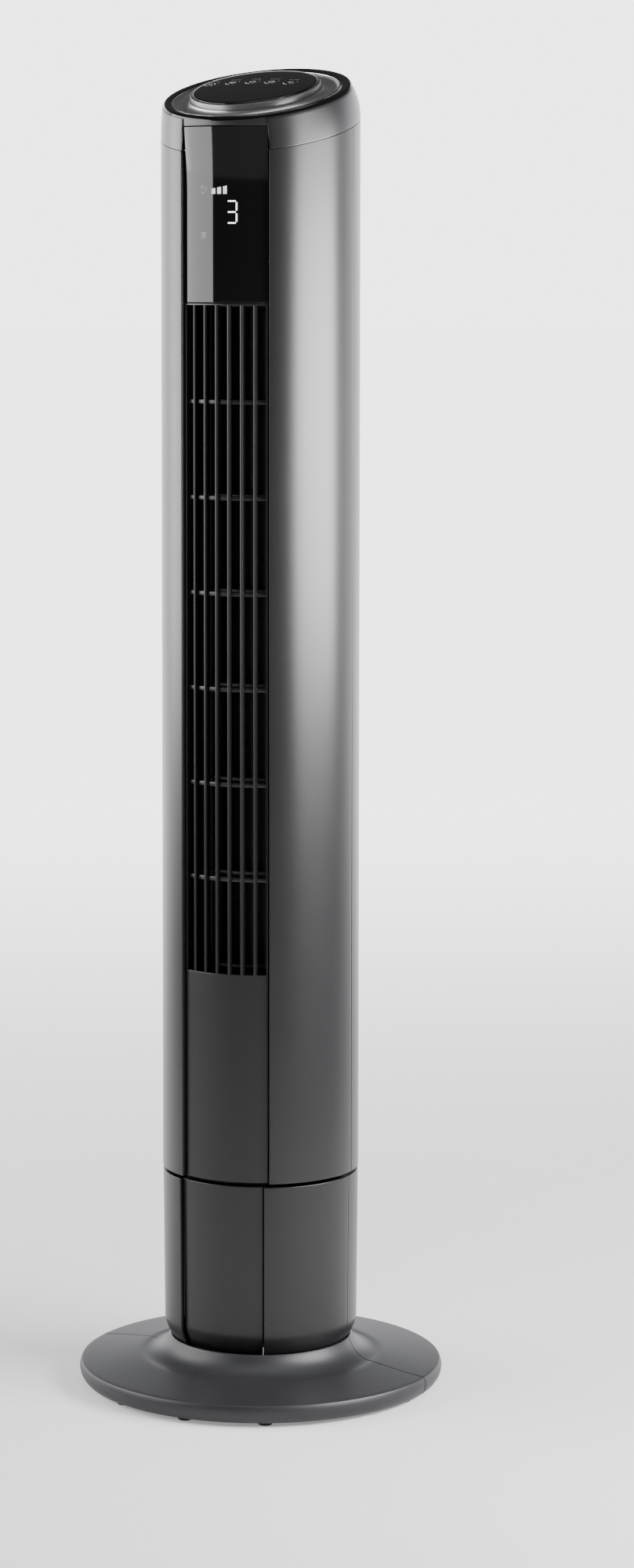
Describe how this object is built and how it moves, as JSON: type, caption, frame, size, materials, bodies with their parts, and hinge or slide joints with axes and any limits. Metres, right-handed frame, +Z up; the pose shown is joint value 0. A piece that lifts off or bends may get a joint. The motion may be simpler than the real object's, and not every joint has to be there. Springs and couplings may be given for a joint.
{
  "type": "tower fan",
  "caption": "Slim round tower fan: turning head with a slatted outlet, smoked display window and sloping touch panel, on a short column with a wide flat round base.",
  "frame": {"origin": "on the floor, under the middle of the round base", "axes": "+Z up along the column; the stand's front strip faces -Y; seen from the front, +X is to the right"},
  "size_m": [0.26, 0.26, 0.937],
  "materials": {
    "shell_plastic": "satin, fine spark texture",
    "base_plastic": "satin, fine spark texture",
    "panel_plastic": "satin",
    "inner_plastic": "moulded",
    "wheel_plastic": "moulded, glass filled",
    "gear_plastic": "natural acetal",
    "white_plastic": "moulded",
    "board_green": "solder mask",
    "gloss_black": "high gloss",
    "dish_silver": "satin metallic",
    "trim_chrome": "polished",
    "foot_rubber": "moulded",
    "screw_steel": "dark zinc",
    "bare_steel": "bright",
    "motor_steel": "plated, drawn",
    "core_steel": "laminated",
    "cast_aluminium": "die cast",
    "bush_bronze": "sintered",
    "winding_copper": "enamelled wire"
  },
  "bodies": {
    "stand": {"base_front_half": "base_plastic", "base_rear_half": "base_plastic", "base_feet": "foot_rubber", "base_screws": "screw_steel", "stand_floor": "inner_plastic", "stand_front_shell": "shell_plastic", "stand_front_panel": "panel_plastic", "stand_rear_shell": "shell_plastic", "stand_shell_screws": "screw_steel", "cord_gland": "foot_rubber", "turntable_plate": "inner_plastic", "thrust_ring": "gear_plastic", "swivel_retainer": "bare_steel", "retainer_screws": "screw_steel", "fixed_gear": "gear_plastic"},
    "head": {"stepper_motor": "motor_steel", "stepper_screws": "screw_steel", "head_base_plate": "inner_plastic", "head_front_shell": "shell_plastic", "head_rear_shell": "shell_plastic", "head_shell_screws": "screw_steel", "handle_cup": "panel_plastic", "intake_grille": "panel_plastic", "outlet_grille": "panel_plastic", "display_window": "gloss_black", "strip_cap": "panel_plastic", "top_cap": "shell_plastic", "bezel_ring": "gloss_black", "trim_ring": "trim_chrome", "control_dish": "dish_silver", "panel_rim": "dish_silver", "touch_panel": "gloss_black", "touch_board": "board_green", "touch_springs": "bare_steel", "display_board": "board_green", "display_module": "white_plastic", "power_board": "board_green", "duct_guide": "inner_plastic", "duct_tongue": "inner_plastic", "duct_top_plate": "inner_plastic", "duct_floor_plate": "inner_plastic", "bearing_rubber": "foot_rubber", "bearing_bush": "bush_bronze", "motor_bracket": "bare_steel", "bracket_screws": "screw_steel", "motor_grommets": "foot_rubber", "motor_screws": "screw_steel", "motor_upper_shield": "cast_aluminium", "motor_lower_shield": "cast_aluminium", "motor_bearings": "bare_steel", "stator_core": "core_steel", "stator_windings": "winding_copper", "run_capacitor": "white_plastic"},
    "blower": {"blower_wheel": "wheel_plastic", "blower_pin": "bare_steel", "blower_hub": "foot_rubber", "hub_grub_screw": "screw_steel", "motor_rotor": "core_steel", "motor_shaft": "bare_steel"},
    "pinion": {"oscillation_pinion": "gear_plastic"}
  },
  "joints": [
    {"name": "head_swing", "type": "hinge", "parent": "stand", "child": "head", "pos_m": [0, 0, 0.165], "axis": [0, 0, 1], "range_deg": [-38, 32]},
    {"name": "blower_spin", "type": "hinge", "parent": "head", "child": "blower", "pos_m": [0, 0, 0.54], "axis": [0, 0, 1], "continuous": true},
    {"name": "pinion_spin", "type": "hinge", "parent": "head", "child": "pinion", "pos_m": [-0.00209, 0.03995, 0.16], "axis": [0, 0, 1], "range_deg": [-118, 100]}
  ],
  "couplings": [
    {"joint": "pinion_spin", "follows": "head_swing", "ratio": 3}
  ]
}
